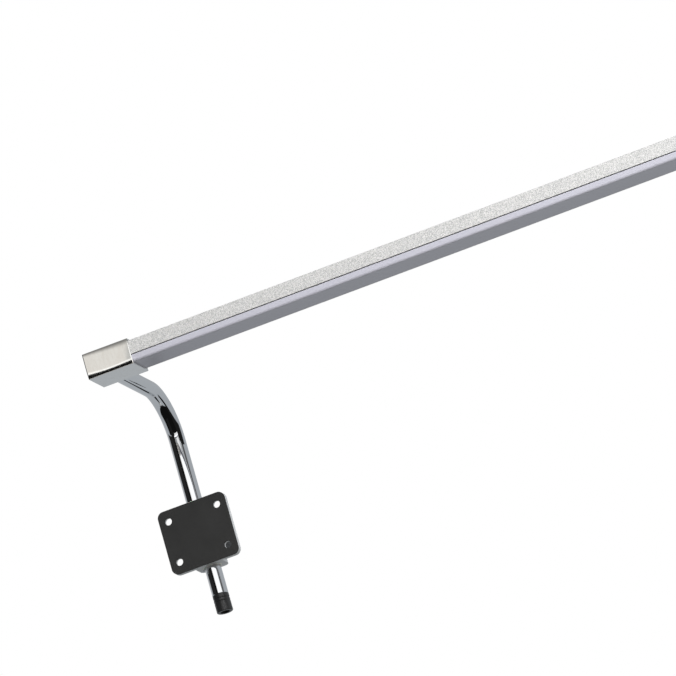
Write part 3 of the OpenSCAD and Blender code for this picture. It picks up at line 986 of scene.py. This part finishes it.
def turned_across(mid):
    """The same with half a turn about an upright axis, for a screw along X"""
    return to(0, 2 * mid.y * MM, 0) @ Matrix.Rotation(math.pi, 4, "Z")


def make_end_screw():
    """Countersunk screw from the bracket's end into the bar"""
    lo, hi = box("left_end_screw")
    mid = middle("left_end_screw")
    place = to(lo.x, mid.y, mid.z) @ ALONG_X
    head_r, shank_r = (hi.z - lo.z) / 2, 1.5
    head_t, land = head_r - shank_r, 0.12
    profile = [(0, 0), (head_r - land, 0), (head_r, land), (shank_r, head_t + land), (0, head_t + land)]
    head = lathe("head", profile, 64, place)
    obj = thread("left_end_screw_thread", shank_r, 0.5, head_t - 0.3, hi.x - lo.x, place)
    combine(obj, [head], "UNION")
    combine(obj, [prism("hex", hexagon(HEX_KEY), to(lo.x - 1, mid.y, mid.z) @ ALONG_X, 1 + head_t)])
    sealed(obj)
    sharpened(obj, 25)
    both_sides(obj, zinc, "lamp", "screw_steel", "{}_end_screw", turned_across(mid))


def make_arm_screw():
    """Set screw from the bracket's top onto the arm"""
    lo, hi = box("left_arm_screw")
    mid = middle("left_arm_screw")
    obj = thread("left_arm_screw_thread", (hi.x - lo.x) / 2, 0.7, lo.z, hi.z, to(mid.x, mid.y, 0))
    combine(obj, [prism("hex", hexagon(HEX_KEY), to(mid.x, mid.y, lo.z + 1), hi.z - lo.z)])
    sharpened(obj, 25)
    both_sides(obj, zinc, "lamp", "screw_steel", "{}_arm_screw", straight_across(mid))


def make_stud():
    """Threaded stud of the thumb screw, with a nose that turns in the pressure pad"""
    lo, hi = box("left_stud")
    mid = middle("left_stud")
    place = to(mid.x, 0, mid.z) @ ALONG_Y
    nose_l, nose_r = 1.2, 1.5
    obj = thread("left_stud_thread", (hi.z - lo.z) / 2, 0.8, lo.y + nose_l, hi.y, place)
    start, end = lo.y, lo.y + nose_l + 0.5
    nose = [(0, start), (nose_r - 0.3, start), (nose_r, start + 0.3), (nose_r, end), (0, end)]
    combine(obj, [lathe("nose", nose, 48, place)], "UNION")
    sharpened(obj, 25)
    both_sides(obj, zinc, "{}_screw", "screw_steel", "{}_stud", straight_across(mid))


make_end_screw()
make_arm_screw()
make_stud()


# ---------------------------------------------------------------- holders and thumb screws


def smaller(a, b, blend):
    """The smaller of two numbers, with a rounded change from one to the other"""
    h = max(0.0, blend - abs(a - b)) / blend
    return min(a, b) - h * h * blend / 4


def knob_radius(angle, r):
    """Radius of the fluted knob at an angle in radians"""
    flutes, flute_r = 20, 1.0
    centre = r + flute_r * 0.4
    step = 2 * math.pi / flutes
    off = (angle + step / 2) % step - step / 2
    side = centre * math.sin(off)
    if abs(side) >= flute_r:
        return r
    return smaller(r, centre * math.cos(off) - math.sqrt(flute_r ** 2 - side ** 2), 0.15)


def make_knob():
    """Fluted knob with round edges, a shallow dish in its face and a bore for the stud"""
    lo, hi = box("left_knob")
    mid = middle("left_knob")
    r, length, edge, bore_r, bore_l = (hi.z - lo.z) / 2, hi.y - lo.y, 1.0, 2.45, 7
    dish_r, dish_t = 6.2, 0.5
    profile = [("round", 0, bore_l), ("round", bore_r, bore_l), ("round", bore_r, 0.4)]
    profile += [("round", bore_r + 0.4, 0)]
    profile += [("fluted", u, v) for u, v in arc((edge, edge), edge, 270, 180, 6)]
    profile += [("fluted", u, v) for u, v in arc((edge, length - edge), edge, 180, 90, 6)]
    profile += [("round", dish_r + 0.4, length), ("round", dish_r + 0.1, length - 0.12)]
    profile += [("round", dish_r - 0.3, length - dish_t + 0.08), ("round", dish_r - 0.7, length - dish_t)]
    profile += [("round", 2.0, length - dish_t - 0.15), ("round", 0, length - dish_t - 0.2)]
    sides = 240
    rings = []
    for kind, u, v in profile:
        ring = []
        for k in range(sides):
            a = 2 * math.pi * k / sides
            here = u if kind == "round" else knob_radius(a, r) - u
            ring.append((mid.x + here * math.cos(a), lo.y + v, mid.z + here * math.sin(a)))
        rings.append(ring)
    obj = loft("left_knob_moulding", rings, caps=False)
    sharpened(obj, 40)
    both_sides(obj, knob_plastic, "{}_screw", "knob", "{}_knob")


def hole_places():
    """The four panel screw holes of the left holder"""
    mid = middle("left_holder")
    across, up = 16, 13
    return [(mid.x + x, mid.z + z) for x in (-across, across) for z in (-up, up)]


def rod(name, r, start, end, place, sides=64):
    """A round rod along the placed Z axis"""
    return prism(name, circle(r, sides), place @ to(0, 0, start), end - start)


def make_holder():
    """Base plate, block and boss in one casting, with its bores"""
    lo, hi = box("left_holder")
    mid = middle("left_holder")
    arm_y = middle("left_bush").y
    plate_t, plate_r, block_w, block_back, boss_r = 3.5, 4, 18, 17.5, 6.5
    plate = rounded(hi.x - lo.x, hi.z - lo.z, plate_r, 10)
    obj = prism("left_holder_casting", plate, to(lo.x, lo.y, lo.z) @ UPRIGHT, plate_t)
    block = rounded(block_w, block_back - lo.y - 1, plate_r, 10)
    inset = 0.02
    block_place = to(mid.x - block_w / 2, lo.y + 1, lo.z + inset)
    parts = [prism("block", block, block_place, hi.z - lo.z - 2 * inset)]
    axis = to(mid.x, 0, mid.z) @ ALONG_Y
    parts.append(rod("boss", boss_r, arm_y, hi.y, axis))
    combine(obj, parts, "UNION")
    bevelled(obj, 0.55, 3, 30)
    bush_r, stud_r, pad_r = 6.05, 2.55, 3.3
    hole_r, sink_r, sink_t = 2.25, 4.5, 2
    plate_back = lo.y + plate_t
    cuts = [rod("bore", bush_r, lo.z - 1, hi.z + 1, to(mid.x, arm_y, 0), 96)]
    cuts.append(rod("stud_hole", stud_r, arm_y, hi.y + 1, axis))
    cuts.append(rod("pad_hole", pad_r, arm_y, box("left_pad")[1].y + 1.7, axis))
    for x, z in hole_places():
        sink = [(0, -2), (hole_r, -2), (hole_r, plate_back - sink_t), (sink_r, plate_back)]
        sink += [(sink_r, plate_back + 1), (0, plate_back + 1)]
        cuts.append(lathe("sink", sink, 48, to(x, 0, z) @ ALONG_Y))
    combine(obj, cuts)
    bevelled(obj, 0.15, 2, 40)
    sealed(obj)
    flat_faces_flat(obj)
    both_sides(obj, paint, "holders", "holder_metal", "{}_holder")


def make_bush():
    """Nylon liner with a collar and a window for the pressure pad"""
    lo, hi = box("left_bush")
    mid = middle("left_bush")
    bore_r, r, collar_r, collar_t, c = 5.08, 6, 7, 1.2, 0.25
    collar_z = hi.z - collar_t
    profile = [(bore_r, lo.z + c), (bore_r + c, lo.z), (r - c, lo.z), (r, lo.z + c), (r, collar_z)]
    profile += [(collar_r - c, collar_z), (collar_r, collar_z + c), (collar_r, hi.z - c)]
    profile += [(collar_r - c, hi.z), (bore_r + c, hi.z), (bore_r, hi.z - c)]
    obj = lathe("left_nylon_liner", profile, 96, to(mid.x, mid.y, 0))
    combine(obj, [rod("window", 3.3, mid.y, mid.y + r + 1, to(mid.x, 0, middle("left_holder").z) @ ALONG_Y)])
    sharpened(obj, 35)
    both_sides(obj, nylon, "holders", "nylon", "{}_bush")


def make_backing():
    """Rubber sheet between the base plate and the panel"""
    lo, hi = box("left_backing")
    outline = rounded(hi.x - lo.x, hi.z - lo.z, 4, 10)
    obj = prism("left_rubber_backing", outline, to(lo.x, lo.y, lo.z) @ UPRIGHT, hi.y - lo.y)
    cuts = [rod("hole", 2.25, -1, 3, to(x, 0, z) @ ALONG_Y, 48) for x, z in hole_places()]
    combine(obj, cuts)
    bevelled(obj, 0.15, 2, 50)
    flat_faces_flat(obj)
    both_sides(obj, rubber, "holders", "rubber", "{}_backing")


def make_pad():
    """Nylon puck between the thumb screw and the arm"""
    lo, hi = box("left_pad")
    mid = middle("left_pad")
    r, c, nose_r, recess = (hi.z - lo.z) / 2, 0.2, 1.6, 1.2
    profile = [(0, lo.y), (r - c, lo.y), (r, lo.y + c), (r, hi.y - c), (r - c, hi.y)]
    profile += [(nose_r + c, hi.y), (nose_r, hi.y - c), (nose_r, hi.y - recess), (0, hi.y - recess)]
    obj = lathe("left_pressure_puck", profile, 64, to(mid.x, 0, mid.z) @ ALONG_Y)
    sharpened(obj, 35)
    both_sides(obj, nylon, "{}_pressure_pad", "nylon", "{}_pad")


def make_inlet():
    """Barrel inlet on the left arm's lower end, with two grip grooves, and its centre pin"""
    lo, hi = box("dc_socket")
    mid = middle("dc_socket")
    pin_lo, pin_hi = box("dc_pin")
    tube_end = box("left_arm")[0].z
    r, bore_r, spigot_r, c = 5, 2.8, 3.95, 0.4
    pin_r = (pin_hi.x - pin_lo.x) / 2
    bore_top = lo.z + 9.5
    profile = [(0, pin_hi.z), (pin_r, pin_hi.z), (pin_r, bore_top), (bore_r, bore_top)]
    profile += [(bore_r, lo.z + c), (bore_r + c, lo.z), (r - c, lo.z), (r, lo.z + c)]
    groove, depth = 0.8, 0.3
    for z in (lo.z + 6, lo.z + 8):
        profile += [(r, z), (r - depth, z + depth), (r - depth, z + groove - depth), (r, z + groove)]
    profile += [(r, tube_end - 0.15), (r - 0.15, tube_end), (spigot_r, tube_end)]
    profile += [(spigot_r, hi.z - c), (spigot_r - c, hi.z), (0, hi.z)]
    socket = lathe("barrel_inlet", profile, 96, to(mid.x, mid.y, 0))
    sharpened(socket, 30)
    dressed(socket, inlet_plastic, "lamp", "inlet", "dc_socket")
    tip = [(x, pin_lo.z + pin_r + z) for x, z in arc((0, 0), pin_r, -90, 0, 8)]
    pin = lathe("inlet_pin", tip + [(pin_r, pin_hi.z), (0, pin_hi.z)], 48, to(mid.x, mid.y, 0))
    sharpened(pin, 40)
    dressed(pin, brass, "lamp", "contact", "dc_pin")


def make_end_plug():
    """Plug in the right arm's lower end, with a round edge and a dimple"""
    lo, hi = box("right_end_plug")
    mid = middle("right_end_plug")
    tube_end = box("right_arm")[0].z
    spigot_r, c = 3.95, 0.4
    profile = [(0, lo.z + 0.3), (1.5, lo.z + 0.3), (2.2, lo.z)]
    profile += arc((3.7, lo.z + 0.8), 0.8, 270, 345, 5)
    profile += [(4.85, tube_end - 0.15), (4.75, tube_end), (spigot_r, tube_end)]
    profile += [(spigot_r, hi.z - c), (spigot_r - c, hi.z), (0, hi.z)]
    plug = lathe("right_tube_plug", profile, 96, to(mid.x, mid.y, 0))
    sharpened(plug, 30)
    dressed(plug, inlet_plastic, "lamp", "inlet", "right_end_plug")


make_knob()
make_holder()
make_bush()
make_backing()
make_pad()
make_inlet()
make_end_plug()
